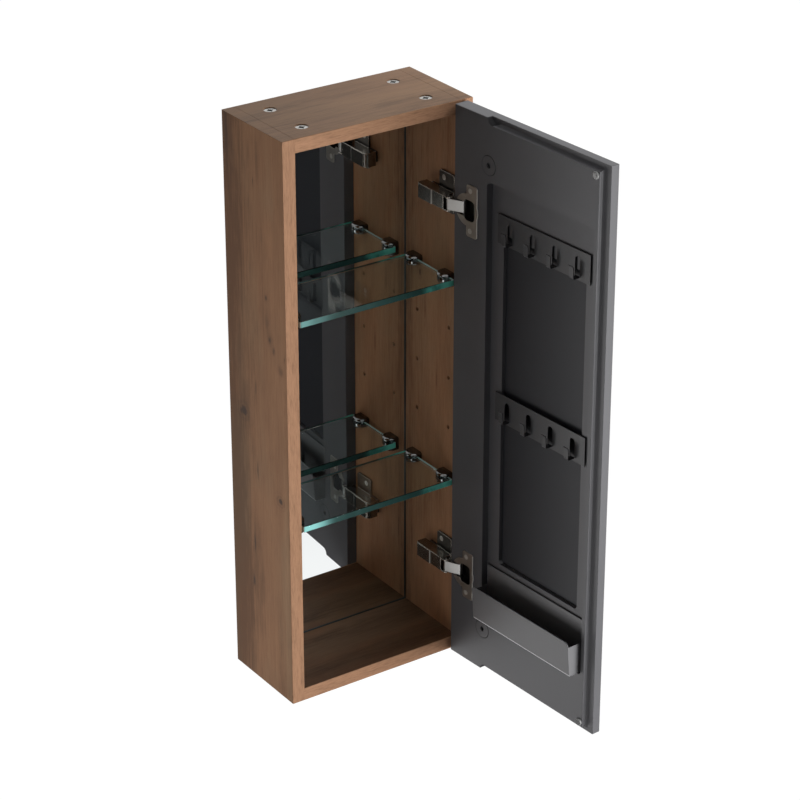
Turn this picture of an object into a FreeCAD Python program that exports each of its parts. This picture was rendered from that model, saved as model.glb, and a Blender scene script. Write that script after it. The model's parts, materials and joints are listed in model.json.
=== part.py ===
import FreeCAD, Part
import os
from math import atan2, cos, degrees, hypot, radians, sin, sqrt, tan

from FreeCAD import Vector

# Wall cabinet with a side-hung door, a mirrored back wall and two glass shelves.
# Millimetres. +Z is up, the front faces -Y, and the wall is the plane Y = 0.
# The origin lies on the wall, midway between the two hanging holes.
# The door is modelled open, at the stop of its hinges.

# Carcass
cabinet_width = 250.0
cabinet_height = 700.0
cabinet_depth = 124.0
board = 16.0
edge_band = 1.0
hanging_drop = 60.0

# Back wall: mirror on a thin panel that sits in grooves
mirror_thickness = 4.0
mirror_play = 0.5
back_thickness = 3.0
back_groove = 4.0
groove_play = 0.1

# Hanging rail, which fills the space behind the back panel, and keyhole plates
rail_depth = 10.0
rail_height = 74.0
hanger_spacing = 150.0
hanger_width = 24.0
hanger_below = 18.0
hanger_above = 27.0
hanger_thickness = 2.0
keyhole_radius = 5.0
keyhole_slot_radius = 3.0
keyhole_rise = 10.0
keyhole_pocket_depth = 5.0
hanger_screw_margin = 6.0

# Cam fasteners and dowels that hold top and bottom between the sides
cam_radius = 7.5
cam_height = 12.5
cam_drop = 1.0
cam_inset = 27.5
cam_setback = 29.5
cam_rear_setback = 30.5
cam_cross_width = 1.4
cam_cross_length = 8.5
cam_cross_depth = 2.0
cam_bolt_radius = 3.0
cam_bolt_reach = 4.0
cam_thread_radius = 2.5
cam_thread_length = 11.0
dowel_radius = 4.0
dowel_in_side = 11.0
dowel_in_panel = 18.0
socket_play = 0.05

# Shelf holes, glass shelves and their clamps
hole_radius = 2.5
hole_depth = 9.0
hole_setback = 20.5
hole_mirror_gap = 22.5
first_hole = 224.0
hole_pitch = 64.0
hole_rows = 5
lower_shelf_row = 0
upper_shelf_row = hole_rows - 1
shelf_thickness = 8.0
shelf_mirror_gap = 10.0
shelf_setback = 3.0
shelf_end_gap = 5.0
shelf_corner = 2.0
shelf_arris = 0.6
clamp_width = 21.0
clamp_reach = 15.0
clamp_straight = 5.5
clamp_upper_jaw = 4.0
clamp_lower_jaw = 5.0
clamp_play = 0.1
clamp_pin_radius = 2.4
clamp_pin_length = 8.0
clamp_screw_radius = 2.0
clamp_screw_inset = 10.0

# Door
door_reveal = 1.0
door_gap = 3.0
door_thickness = 18.0
door_open_angle = 94.0
rebate_depth = 7.0
rebate_side_width = 10.6
rebate_end_width = 8.0
rebate_start = 55.5
rebate_cove = 4.0
cut_over = 1.0
pocket_depth = 9.0
pocket_hinge_inset = 56.0
pocket_free_inset = 16.0
pocket_end_inset = 75.5
pocket_corner = 4.0
window_side_inset = 19.5
window_lower_inset = 74.0
window_upper_inset = 59.5
window_step = 4.5
magnet_board_thickness = 1.0
magnet_board_play = 0.3

# Round caps and clear bumpers on the door's inner face
cap_radius = 12.0
cap_thickness = 3.0
cap_play = 0.3
cap_hole_radius = 2.5
cap_hole_depth = 9.0
cap_inset = 58.0
cap_end_inset = 56.5
bumper_radius = 4.5
bumper_height = 2.7
bumper_edge = 1.2
bumper_inset = 15.5
bumper_end_inset = 14.0

# Hook strips and tray, folded from sheet and held off the pocket's floor by pads
sheet = 1.2
bend = 1.2
pad_thickness = 1.2
pad_width = 7.0
pad_margin = 2.0
strip_inset = 11.5
strip_height = 35.0
upper_strip_drop = 35.5
strip_spacing = 218.0
hook_count = 4
hook_pitch = 37.2
hook_width = 7.0
hook_slot_width = 8.0
hook_slot_low = 3.0
hook_slot_high = 27.0
hook_gap = 8.0
hook_rise = 16.0
hook_flare = 1.2
hook_flare_height = 3.0
hook_bend = 2.5
tray_lift = 1.0
tray_plate_height = 66.0
tray_front_height = 45.0
tray_end_height = 39.0
tray_bottom_depth = 21.5
tray_lean = 3.5
tray_hinge_gap = 2.0
tray_free_gap = 4.0
tray_corner = 6.0

# Hinges: two pivots each, a fixed arm on the side panel and a cup in the door
lower_hinge_inset = 117.0
upper_hinge_inset = 119.5
arm_pivot_reach = 16.2
arm_pivot_setback = 0.1
cup_pivot_inset = 13.0
cup_pivot_depth = 3.0
link_swing = 43.2
link_height = 13.6
link_play = 0.25
link_eye_radius = 2.6
link_thickness = 1.6
pin_radius = 1.5
pin_play = 0.05
cup_radius = 17.4
cup_bore_play = 0.1
cup_inset = 22.5
cup_depth = 11.5
cup_wall = 1.0
cup_mouth_width = 17.0
cup_mouth_depth = 2.5
cup_opening_start = 17.0
cup_opening_end = 36.0
cup_opening_height = 25.0
cup_opening_corner = 6.0
flange_thickness = 1.2
flange_half_height = 31.0
flange_ring = 1.6
flange_back = 0.5
flange_front = 17.8
flange_corner = 3.0
flange_screw_offset = 6.0
flange_screw_half_pitch = 24.0
arm_reach = 20.0
arm_foot = 6.0
arm_length = 57.0
arm_wall = 1.5
arm_tail = 4.0
arm_nose_radius = 3.8
arm_nose_length = 6.0
plate_thickness = 3.0
plate_front = 8.0
plate_rear = 52.0
wing_rear = 37.0
wing_above = 27.0
wing_below = 20.0
wing_corner = 3.0
boss_play = 0.25
boss_front = 10.0
boss_rear = 50.0
plate_screw_setback = 28.0
plate_screw_above = 19.5
plate_screw_below = 14.5
cover_front = 27.0
cover_thickness = 1.2
cover_room = 0.8
cover_room_play = 0.3
adjuster_front = 33.0
adjuster_rear = 46.0
adjuster_head_radius = 3.2
adjuster_head_height = 0.6
adjuster_shank_radius = 2.0
adjuster_shank_length = 8.0
adjuster_slot_width = 1.0
adjuster_slot_depth = 0.4

# Countersunk wood screws
screw_head_radius = 3.2
screw_shank_radius = 1.7
screw_head_height = 1.5
screw_length = 12.0
hanger_screw_length = 7.0
screw_slot_width = 0.9
screw_slot_length = 3.6
screw_slot_depth = 0.8

# Directions, and the shortest edge worth drawing
X = Vector(1, 0, 0)
Y = Vector(0, 1, 0)
Z = Vector(0, 0, 1)
shortest_edge = 1e-6

# Planes of the carcass, worked out from the sizes above
left = -cabinet_width / 2
right = cabinet_width / 2
front = -cabinet_depth
wall = 0.0
top = hanging_drop
bottom = top - cabinet_height
inner_left = left + board
inner_right = right - board
floor = bottom + board
ceiling = top - board
board_front = front + edge_band
back_rear = wall - rail_depth
mirror_rear = back_rear - back_thickness
mirror_front = mirror_rear - mirror_thickness
hole_columns = (front + hole_setback, mirror_front - hole_mirror_gap)
shelf_rows = {"lower": lower_shelf_row, "upper": upper_shelf_row}
hinge_levels = {"lower": lower_hinge_inset, "upper": cabinet_height - upper_hinge_inset}

# Pivots of the hinge chain in plan, first with the door closed, then open
arm_pivot = Vector(inner_right - arm_pivot_reach, front + arm_pivot_setback, 0)
cup_pivot_closed = Vector(
    right - door_reveal - cup_pivot_inset, front - door_gap - cup_pivot_depth, 0)
link_closed = cup_pivot_closed - arm_pivot
link_length = hypot(link_closed.x, link_closed.y)
link_open_angle = degrees(atan2(link_closed.y, link_closed.x)) - link_swing
cup_pivot_open = arm_pivot + Vector(
    link_length * cos(radians(link_open_angle)), link_length * sin(radians(link_open_angle)), 0)

# The door is drawn flat: X from its hinge edge, Y from its inner face outwards, Z from the cabinet's bottom.
door_turn = FreeCAD.Rotation(Vector(0, 0, 1), door_open_angle - 180)
door_corner = cup_pivot_open - door_turn.multVec(Vector(cup_pivot_inset, cup_pivot_depth, 0))
door_place = FreeCAD.Placement(door_corner + Vector(0, 0, bottom), door_turn)
door_width = cabinet_width - 2 * door_reveal
door_low = door_reveal
door_high = cabinet_height - door_reveal
pocket_free = door_width - pocket_free_inset
pocket_low = pocket_end_inset
pocket_high = cabinet_height - pocket_end_inset
window_left = pocket_hinge_inset + window_side_inset
window_right = pocket_free - window_side_inset
window_low = pocket_low + window_lower_inset
window_high = pocket_high - window_upper_inset
window_depth = pocket_depth + window_step + magnet_board_thickness
sheet_back = pocket_depth - pad_thickness
sheet_front = sheet_back - sheet
strip_left = pocket_hinge_inset + strip_inset
strip_right = pocket_free - strip_inset
upper_strip_low = pocket_high - upper_strip_drop - strip_height
strip_lows = {"lower": upper_strip_low - strip_spacing, "upper": upper_strip_low}
tray_bottom = pocket_low + tray_lift


def block(x0, x1, y0, y1, z0, z1):
    """Box between two corners."""
    return Part.makeBox(x1 - x0, y1 - y0, z1 - z0, Vector(x0, y0, z0))


def rod(radius, start, end):
    """Round bar from one point to another."""
    axis = end - start
    return Part.makeCylinder(radius, axis.Length, start, axis)


def outline(corners, place):
    """Closed face through (a, b, radius) corners; place turns (a, b) into a point in space."""
    points = [Vector(a, b, 0) for a, b, _ in corners]
    ends = []
    for index, (_, _, radius) in enumerate(corners):
        corner = points[index]
        back = (points[index - 1] - corner).normalize()
        ahead = (points[(index + 1) % len(points)] - corner).normalize()
        half = back.getAngle(ahead) / 2
        run = radius / tan(half)
        middle = corner
        if radius > 0:
            middle = corner + (back + ahead).normalize() * (radius / sin(half) - radius)
        ends.append((corner + back * run, middle, corner + ahead * run, radius > 0))
    spots = [[place(p.x, p.y) for p in end[:3]] for end in ends]
    edges = []
    for index, (start, middle, finish) in enumerate(spots):
        if ends[index][3]:
            edges.append(Part.Arc(start, middle, finish).toShape())
        following = spots[(index + 1) % len(spots)][0]
        if finish.distanceToPoint(following) > shortest_edge:
            edges.append(Part.LineSegment(finish, following).toShape())
    return Part.Face(Part.Wire(edges))


def rounded_slab(a0, a1, b0, b1, radius, place, thickness):
    """Rectangle with round corners, extruded along thickness."""
    corners = [(a0, b0, radius), (a1, b0, radius), (a1, b1, radius), (a0, b1, radius)]
    return outline(corners, place).extrude(thickness)


def plan(height):
    """Place outline points in a level plane."""
    return lambda a, b: Vector(a, b, height)


def door_face(depth):
    """Place outline points (from hinge edge, height) at a depth behind the door's inner face."""
    return lambda a, b: Vector(a, depth, b)


def door_section(along):
    """Place outline points (depth, height) in a section across the door."""
    return lambda a, b: Vector(along, a, b)


def countersunk(position, direction, length, play=0.0):
    """Countersunk screw whose head is flush at position and whose shank runs along direction."""
    head = Part.makeCone(screw_head_radius + play, screw_shank_radius + play,
                         screw_head_height, position, direction)
    shank = Part.makeCylinder(screw_shank_radius + play, length + play, position, direction)
    return head.fuse(shank).removeSplitter()


def cross_recess(position, direction, across, width, length, depth):
    """Cross-shaped recess for a driver, sunk from position along direction."""
    third = direction.cross(across)
    bars = []
    for along, beside in ((across, third), (third, across)):
        corner = position - along * (length / 2) - beside * (width / 2)
        face = Part.makePolygon([
            corner,
            corner + along * length,
            corner + along * length + beside * width,
            corner + beside * width,
            corner,
        ])
        bars.append(Part.Face(face).extrude(direction * depth))
    return bars[0].fuse(bars[1])


def screw(position, direction, across, length):
    """Countersunk screw with a cross recess in its head."""
    recess = cross_recess(position, direction, across,
                          screw_slot_width, screw_slot_length, screw_slot_depth)
    return countersunk(position, direction, length).cut(recess)


def hang(shape):
    """Bring a piece drawn in the flat door to where the open door stands."""
    placed = shape.copy()
    placed.Placement = door_place.multiply(placed.Placement)
    return placed


def save(node, shapes):
    """Write one node, a single solid or a group of like solids."""
    solids = [solid for shape in shapes for solid in shape.Solids]
    result = solids[0] if len(solids) == 1 else Part.makeCompound(solids)
    result.exportStep("parts/" + node + ".step")


def board_joints():
    """Joints of top and bottom with the sides, which the cams, bolts and dowels hold.

    Each is the side's inner face, the way into the panel, the panel's middle height, its outer face and
    that face's sign.
    """
    for side, inward in ((inner_left, X), (inner_right, -X)):
        yield side, inward, top - board / 2, top, 1
        yield side, inward, bottom + board / 2, bottom, -1


def cam_rows():
    """Distances from the wall of the two cams in each joint."""
    return [front + cam_setback, wall - cam_rear_setback]


def cam_set(play, drop=0.0):
    """Cam housings, grown by play for their bores or set below the face by drop."""
    housings = []
    for side, inward, _, face, sign in board_joints():
        for row in cam_rows():
            seat = Vector(side, row, face) + inward * cam_inset
            depth = Z * sign
            housings.append(rod(cam_radius + play, seat - depth * drop, seat - depth * (cam_height + play)))
    return housings


def cam_bolt_set(play):
    """Cam bolts, thread in the side panel and shank in the end of the panel."""
    bolts = []
    for side, inward, middle, _, _ in board_joints():
        for row in cam_rows():
            seat = Vector(side, row, middle)
            thread = rod(cam_thread_radius + play, seat - inward * (cam_thread_length + play), seat)
            shank_end = seat + inward * (cam_inset - cam_radius + cam_bolt_reach + play)
            bolts.append(thread.fuse(rod(cam_bolt_radius + play, seat, shank_end)))
    return bolts


def dowel_set(play):
    """Dowels midway between the cams, across each joint."""
    dowels = []
    for side, inward, middle, _, _ in board_joints():
        seat = Vector(side, sum(cam_rows()) / 2, middle)
        dowels.append(rod(dowel_radius + play, seat - inward * (dowel_in_side + play),
                          seat + inward * (dowel_in_panel + play)))
    return dowels


def groove():
    """Groove for the back panel, round all four boards."""
    return block(inner_left - back_groove, inner_right + back_groove,
                 mirror_rear - groove_play, back_rear + groove_play,
                 floor - back_groove, ceiling + back_groove)


def shelf_holes():
    """Rows of blind holes in both sides' inner faces."""
    holes = []
    for y in hole_columns:
        for row in range(hole_rows):
            z = bottom + first_hole + row * hole_pitch
            holes.append(rod(hole_radius, Vector(inner_left - hole_depth, y, z), Vector(inner_left, y, z)))
            holes.append(rod(hole_radius, Vector(inner_right, y, z), Vector(inner_right + hole_depth, y, z)))
    return holes


def plate_screw_seats():
    """Heads of the screws that hold both mounting plates, level by level."""
    for level in hinge_levels.values():
        for offset in (plate_screw_above, -plate_screw_below):
            yield Vector(inner_right - plate_thickness, front + plate_screw_setback, bottom + level + offset)


def hanger_centres():
    return [-hanger_spacing / 2, hanger_spacing / 2]


def hanger_screw_seats():
    for centre in hanger_centres():
        for z in (-hanger_below + hanger_screw_margin, hanger_above - hanger_screw_margin):
            yield Vector(centre, wall, z)


def build_carcass():
    """Boards, edge bands, back wall, fasteners and hanging rail."""
    fasteners = cam_set(socket_play) + cam_bolt_set(socket_play) + dowel_set(socket_play)
    side_cuts = fasteners + shelf_holes() + [groove()]
    plate_pilots = [countersunk(seat, X, screw_length, socket_play) for seat in plate_screw_seats()]
    left_side = block(left, inner_left, board_front, wall, bottom, top).cut(side_cuts)
    right_side = block(inner_right, right, board_front, wall, bottom, top).cut(side_cuts + plate_pilots)
    save("left_side_panel", [left_side])
    save("right_side_panel", [right_side])
    top_board = block(inner_left, inner_right, board_front, wall, ceiling, top)
    bottom_board = block(inner_left, inner_right, board_front, wall, bottom, floor)
    save("top_panel", [top_board.cut(fasteners + [groove()])])
    save("bottom_panel", [bottom_board.cut(fasteners + [groove()])])
    save("front_edge_bands", [
        block(left, inner_left, front, board_front, bottom, top),
        block(inner_right, right, front, board_front, bottom, top),
        block(inner_left, inner_right, front, board_front, ceiling, top),
        block(inner_left, inner_right, front, board_front, bottom, floor),
    ])
    save("back_mirror", [block(inner_left + mirror_play, inner_right - mirror_play, mirror_front, mirror_rear,
                               floor, ceiling - mirror_play)])
    reach = back_groove - groove_play
    save("back_panel", [block(inner_left - reach, inner_right + reach, mirror_rear, back_rear,
                              floor - reach, ceiling + reach)])
    bolts = cam_bolt_set(socket_play)
    cams = []
    for (side, inward, _, face, sign), pair in zip(board_joints(), range(4)):
        for row, housing in zip(cam_rows(), cam_set(0, cam_drop)[2 * pair:2 * pair + 2]):
            seat = Vector(side, row, face - sign * cam_drop) + inward * cam_inset
            recess = cross_recess(seat, -Z * sign, X, cam_cross_width, cam_cross_length, cam_cross_depth)
            cams.append(housing.cut([recess] + bolts))
    save("cam_housings", cams)
    save("cam_bolts", cam_bolt_set(0))
    save("wood_dowels", dowel_set(0))


def keyhole(y0, y1):
    """Keyhole through a hanger plate: round entry with a narrower slot above it."""
    entry = rod(keyhole_radius, Vector(0, y0, 0), Vector(0, y1, 0))
    end = rod(keyhole_slot_radius, Vector(0, y0, keyhole_rise), Vector(0, y1, keyhole_rise))
    slot = block(-keyhole_slot_radius, keyhole_slot_radius, y0, y1, 0, keyhole_rise)
    return entry.fuse([slot, end])


def build_hanging():
    """Rail behind the back panel, with two keyhole plates let in flush with the wall plane."""
    rail = block(inner_left, inner_right, back_rear, wall, ceiling - rail_height, ceiling)
    pilots = [countersunk(seat, -Y, hanger_screw_length, socket_play) for seat in hanger_screw_seats()]
    plates = []
    for centre in hanger_centres():
        shift = Vector(centre, 0, 0)
        half = hanger_width / 2
        seat = block(-half - groove_play, half + groove_play, -hanger_thickness, wall,
                     -hanger_below - groove_play, hanger_above + groove_play)
        pocket = block(-keyhole_radius, keyhole_radius, -hanger_thickness - keyhole_pocket_depth,
                       -hanger_thickness, -keyhole_radius, keyhole_rise + keyhole_radius)
        rail = rail.cut([seat.translated(shift), pocket.translated(shift)])
        plate = block(-half, half, -hanger_thickness, wall, -hanger_below, hanger_above)
        plates.append(plate.cut(keyhole(-hanger_thickness, wall)).translated(shift).cut(pilots))
    save("hanging_rail", [rail.cut(pilots)])
    save("hanger_plates", plates)
    save("hanger_screws", [screw(seat, -Y, X, hanger_screw_length) for seat in hanger_screw_seats()])


def shelf_level(name):
    """Middle of a shelf's glass, at its row of holes."""
    return bottom + first_hole + shelf_rows[name] * hole_pitch


def clamp(side, inward, y, level):
    """Half-round glass clamp on one side panel: jaws, back and pin, as one casting."""
    half = clamp_width / 2
    low = level - shelf_thickness / 2 - clamp_play
    high = level + shelf_thickness / 2 + clamp_play
    start, shoulder, nose = (
        side + inward.x * reach for reach in (0.0, clamp_straight, clamp_reach))
    place = plan(low - clamp_lower_jaw)
    near, far = place(shoulder, y - half), place(shoulder, y + half)
    edges = [
        Part.LineSegment(place(start, y - half), near),
        Part.Arc(near, place(nose, y), far),
        Part.LineSegment(far, place(start, y + half)),
        Part.LineSegment(place(start, y + half), place(start, y - half)),
    ]
    base = Part.Face(Part.Wire([edge.toShape() for edge in edges]))
    body = base.extrude(Z * (high - low + clamp_lower_jaw + clamp_upper_jaw))
    throat = sorted((side + inward.x * (shelf_end_gap - clamp_play), nose + inward.x))
    body = body.cut(block(throat[0], throat[1], y - clamp_width, y + clamp_width, low, high))
    pin = rod(clamp_pin_radius, Vector(side, y, level), Vector(side, y, level) - inward * clamp_pin_length)
    hole = clamp_screw(side, inward, y, level, socket_play)
    return body.fuse(pin).cut(hole)


def clamp_screw(side, inward, y, level, play=0.0):
    """Set screw in the lower jaw, up against the glass."""
    head = Vector(side + inward.x * clamp_screw_inset, y, level - shelf_thickness / 2 - clamp_play)
    return rod(clamp_screw_radius + play, head - Z * clamp_lower_jaw, head)


def build_shelves():
    """Two glass shelves, each in four clamps."""
    screws = []
    for name in shelf_rows:
        level = shelf_level(name)
        y0 = front + shelf_setback
        y1 = mirror_front - shelf_mirror_gap
        glass = rounded_slab(inner_left + shelf_end_gap, inner_right - shelf_end_gap, y0, y1, shelf_corner,
                             plan(level - shelf_thickness / 2), Z * shelf_thickness)
        rims = [edge for edge in glass.Edges if abs(edge.Vertexes[0].Z - edge.Vertexes[-1].Z) < shelf_arris]
        save(name + "_glass_shelf", [glass.makeChamfer(shelf_arris, rims)])
        clamps = []
        for side, inward in ((inner_left, X), (inner_right, -X)):
            for y in hole_columns:
                clamps.append(clamp(side, inward, y, level))
                screws.append(clamp_screw(side, inward, y, level))
        save(name + "_shelf_clamps", clamps)
    save("clamp_screws", screws)


def rebate(over):
    """Finger pull round the free side: a coved step along the top, free edge and bottom of the inner face."""
    wall_line = door_width - rebate_side_width
    cove = [
        (door_width + over, -over, 0), (wall_line, -over, 0), (wall_line, rebate_depth, rebate_cove),
        (door_width + over, rebate_depth, 0),
    ]
    side = outline(cove, plan(door_low - over)).extrude(Z * (door_high - door_low + 2 * over))
    tools = [side]
    for end, sign in ((door_low, 1), (door_high, -1)):
        section = [
            (-over, end - sign * over, 0), (-over, end + sign * rebate_end_width, 0),
            (rebate_depth, end + sign * rebate_end_width, rebate_cove), (rebate_depth, end - sign * over, 0),
        ]
        first = rebate_start + rebate_end_width
        tools.append(outline(section, door_section(first)).extrude(X * (door_width + over - first)))
        sweep = rod(rebate_end_width, Vector(first, -over, end), Vector(first, rebate_depth, end))
        tools.append(sweep)
    return tools[0].fuse(tools[1:])


def flange_screw_seats():
    for level in hinge_levels.values():
        for offset in (-flange_screw_half_pitch, flange_screw_half_pitch):
            yield Vector(cup_inset + flange_screw_offset, -flange_thickness, level + offset)


def cap_places():
    return [Vector(cap_inset, 0, z) for z in (cap_end_inset, cabinet_height - cap_end_inset)]


def flange_pilots():
    return [countersunk(seat, Y, screw_length, socket_play) for seat in flange_screw_seats()]


def build_door():
    """Door panel with pocket, window, finger pull and bores; then what is set into it."""
    panel = block(0, door_width, 0, door_thickness, door_low, door_high)
    pocket = rounded_slab(pocket_hinge_inset, pocket_free, pocket_low, pocket_high, pocket_corner,
                          door_face(0), Y * pocket_depth)
    window = rounded_slab(window_left, window_right, window_low, window_high, pocket_corner,
                          door_face(0), Y * window_depth)
    bores = []
    for level in hinge_levels.values():
        centre = Vector(cup_inset, 0, level)
        bores.append(rod(cup_radius + cup_bore_play, centre, centre + Y * (cup_depth + cup_bore_play)))
    for place in cap_places():
        bores.append(rod(cap_radius + cap_play, place, place + Y * cap_thickness))
        bores.append(rod(cap_hole_radius, place, place + Y * cap_hole_depth))
    panel = panel.cut([pocket, window, rebate(cut_over)] + bores + flange_pilots())
    save("door_panel", [hang(panel)])
    play = magnet_board_play
    board_sheet = rounded_slab(window_left + play, window_right - play, window_low + play, window_high - play,
                               pocket_corner - play, door_face(pocket_depth + window_step),
                               Y * magnet_board_thickness)
    save("magnet_board", [hang(board_sheet)])
    caps = []
    for place in cap_places():
        disc = rod(cap_radius, place, place + Y * cap_thickness)
        caps.append(hang(disc.cut(rod(cap_hole_radius, place, place + Y * cap_thickness))))
    save("door_caps", caps)
    bumpers = []
    for z in (bumper_end_inset, cabinet_height - bumper_end_inset):
        seat = Vector(door_width - bumper_inset, 0, z)
        dot = rod(bumper_radius, seat, seat - Y * bumper_height)
        rim = [edge for edge in dot.Edges if abs(edge.CenterOfMass.y + bumper_height) < bumper_edge / 2]
        bumpers.append(hang(dot.makeFillet(bumper_edge, rim)))
    save("door_bumpers", bumpers)


def hook(centre, low):
    """Tongue folded out of the strip: foot, rounded turn and flared tip."""
    inner = sheet_front - hook_gap
    outer = inner - sheet
    foot = low + hook_slot_low
    tip = foot + hook_rise
    section = [
        (sheet_front, foot, 0),
        (outer, foot, hook_bend),
        (outer, tip - hook_flare_height, 0),
        (outer - hook_flare, tip, 0),
        (inner - hook_flare, tip, 0),
        (inner, tip - hook_flare_height, 0),
        (inner, foot + sheet, hook_bend - sheet),
        (sheet_front, foot + sheet, 0),
    ]
    return outline(section, door_section(centre - hook_width / 2)).extrude(X * hook_width)


def hook_strip(low):
    """Sheet strip with a row of slots and the hooks punched from them."""
    strip = block(strip_left, strip_right, sheet_front, sheet_back, low, low + strip_height)
    first = (strip_left + strip_right - (hook_count - 1) * hook_pitch) / 2
    centres = [first + index * hook_pitch for index in range(hook_count)]
    half = hook_slot_width / 2
    for centre in centres:
        shoulder = low + hook_slot_high - half
        slot = block(centre - half, centre + half, sheet_front, sheet_back,
                     low + hook_slot_low + sheet, shoulder)
        arch = rod(half, Vector(centre, sheet_front, shoulder), Vector(centre, sheet_back, shoulder))
        strip = strip.cut(slot.fuse(arch))
    return strip.fuse([hook(centre, low) for centre in centres]).removeSplitter()


def pads(a0, a1, low, high):
    """Two pads at the ends of a sheet, on the pocket's floor."""
    return [
        block(a0 + pad_margin, a0 + pad_width, sheet_back, pocket_depth, low + pad_margin, high - pad_margin),
        block(a1 - pad_width, a1 - pad_margin, sheet_back, pocket_depth, low + pad_margin, high - pad_margin),
    ]


def tray():
    """Folded tray: tall back, flat bottom, leaning front, closed ends."""
    a0 = pocket_hinge_inset + tray_hinge_gap
    a1 = pocket_free - tray_free_gap
    foot = sheet_back - tray_bottom_depth
    lip = foot - tray_lean
    plate_top = tray_bottom + tray_plate_height
    front_top = tray_bottom + tray_front_height
    slope = tray_lean / tray_front_height
    thick = sheet * sqrt(1 + slope ** 2)
    inner_foot = foot + thick - slope * sheet
    section = [
        (sheet_back, plate_top, 0),
        (sheet_back, tray_bottom, bend + sheet),
        (foot, tray_bottom, bend + sheet),
        (lip, front_top, 0),
        (lip + thick, front_top, 0),
        (inner_foot, tray_bottom + sheet, bend),
        (sheet_front, tray_bottom + sheet, bend),
        (sheet_front, plate_top, 0),
    ]
    trough = outline(section, door_section(a0)).extrude(X * (a1 - a0))
    end_top = tray_bottom + tray_end_height
    end_section = [
        (sheet_back, end_top, 0),
        (sheet_back, tray_bottom, bend + sheet),
        (foot, tray_bottom, bend + sheet),
        (foot - slope * tray_end_height, end_top, 0),
    ]
    ends = [outline(end_section, door_section(a)).extrude(X * sheet) for a in (a0, a1 - sheet)]
    folded = trough.fuse(ends).removeSplitter()
    edge = front_top - tray_corner
    for outer, turn in ((a0, a0 + tray_corner), (a1, a1 - tray_corner)):
        corner = block(min(outer, turn), max(outer, turn), lip - sheet, foot, edge, front_top)
        arc = rod(tray_corner, Vector(turn, lip - sheet, edge), Vector(turn, foot, edge))
        folded = folded.cut(corner.cut(arc))
    return folded, pads(a0, a1, end_top, plate_top)


def build_door_fittings():
    """Hook strips, tray and the pads behind them."""
    cushions = []
    for name, low in strip_lows.items():
        save(name + "_hook_strip", [hang(hook_strip(low))])
        cushions += pads(strip_left, strip_right, low, low + strip_height)
    trough, trough_pads = tray()
    save("door_tray", [hang(trough)])
    save("fixing_pads", [hang(pad) for pad in cushions + trough_pads])


def mounting_plate(z):
    """Plate on the side panel: base, wings and the boss that the arm fits over."""
    base_half = link_height / 2
    y0 = front + plate_front
    face = inner_right - plate_thickness
    base = block(face, inner_right, y0, front + plate_rear, z - base_half, z + base_half)
    wing = rounded_slab(y0, front + wing_rear, z - wing_below, z + wing_above, wing_corner,
                        lambda a, b: Vector(face, a, b), X * plate_thickness)
    boss = block(inner_right - arm_reach + arm_wall + boss_play, face, front + boss_front, front + boss_rear,
                 z - base_half, z + base_half)
    return base.fuse([wing, boss]).removeSplitter()


def arm(z):
    """Channel over the boss, closed at its tail, with two ears that hold the pivot pin."""
    inside = link_height / 2 + link_play
    outside = inside + arm_wall
    web = inner_right - arm_reach
    foot = inner_right - arm_foot
    ears = front + arm_nose_length
    tail = front + arm_length
    body = outline([
        (web, ears, 0), (foot, ears, 0), (foot, tail, 0), (web, tail, arm_tail),
    ], plan(z - outside)).extrude(Z * 2 * outside)
    nose_low = arm_pivot + Z * (z - outside)
    nose_high = arm_pivot + Z * (z + outside)
    nose = rod(arm_nose_radius, nose_low, nose_high)
    neck = outline([
        (arm_pivot.x - arm_nose_radius, arm_pivot.y, 0), (arm_pivot.x + arm_nose_radius, arm_pivot.y, 0),
        (arm_pivot.x + arm_nose_radius, ears, 0), (web, ears, 0),
    ], plan(z - outside)).extrude(Z * 2 * outside)
    hollow = block(web + arm_wall, foot, ears, tail - arm_wall, z - inside, z + inside)
    fork = block(web, inner_right, front - arm_reach, ears, z - inside, z + inside)
    eye = rod(pin_radius, nose_low, nose_high)
    return body.fuse([nose, neck]).cut([hollow, fork, eye]).removeSplitter()


def link(z):
    """Steel link between the two pins: rolled eyes joined by a plate on the side away from the door."""
    half = link_height / 2
    eyes = [rod(link_eye_radius, Vector(a, 0, -half), Vector(a, 0, half)) for a in (0, link_length)]
    plate = block(0, link_length, -link_eye_radius, link_thickness - link_eye_radius, -half, half)
    holes = [rod(pin_radius + pin_play, Vector(a, 0, -half), Vector(a, 0, half)) for a in (0, link_length)]
    shape = plate.fuse(eyes).cut(holes).removeSplitter()
    shape.Placement = FreeCAD.Placement(arm_pivot + Z * z, FreeCAD.Rotation(Z, link_open_angle))
    return shape


def cup(level):
    """Hinge cup with its flange, drawn in the flat door."""
    centre = Vector(cup_inset, 0, level)
    bowl = rod(cup_radius, centre, centre + Y * cup_depth)
    rim_radius = cup_radius + flange_ring
    rim = rod(rim_radius, centre - Y * flange_thickness, centre)
    ears = rounded_slab(cup_inset - flange_back, cup_inset + flange_front, level - flange_half_height,
                        level + flange_half_height, flange_corner, door_face(-flange_thickness),
                        Y * flange_thickness)
    inside = rod(cup_radius - cup_wall, centre, centre + Y * (cup_depth - cup_wall))
    opening = rounded_slab(cup_opening_start, cup_opening_end, level - cup_opening_height / 2,
                           level + cup_opening_height / 2, cup_opening_corner, door_face(-flange_thickness),
                           Y * flange_thickness)
    mouth = block(cup_inset - rim_radius, cup_opening_start + cup_opening_corner, -flange_thickness,
                  cup_mouth_depth, level - cup_mouth_width / 2, level + cup_mouth_width / 2)
    return bowl.fuse([rim, ears]).cut([inside, opening, mouth] + flange_pilots()).removeSplitter()


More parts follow.
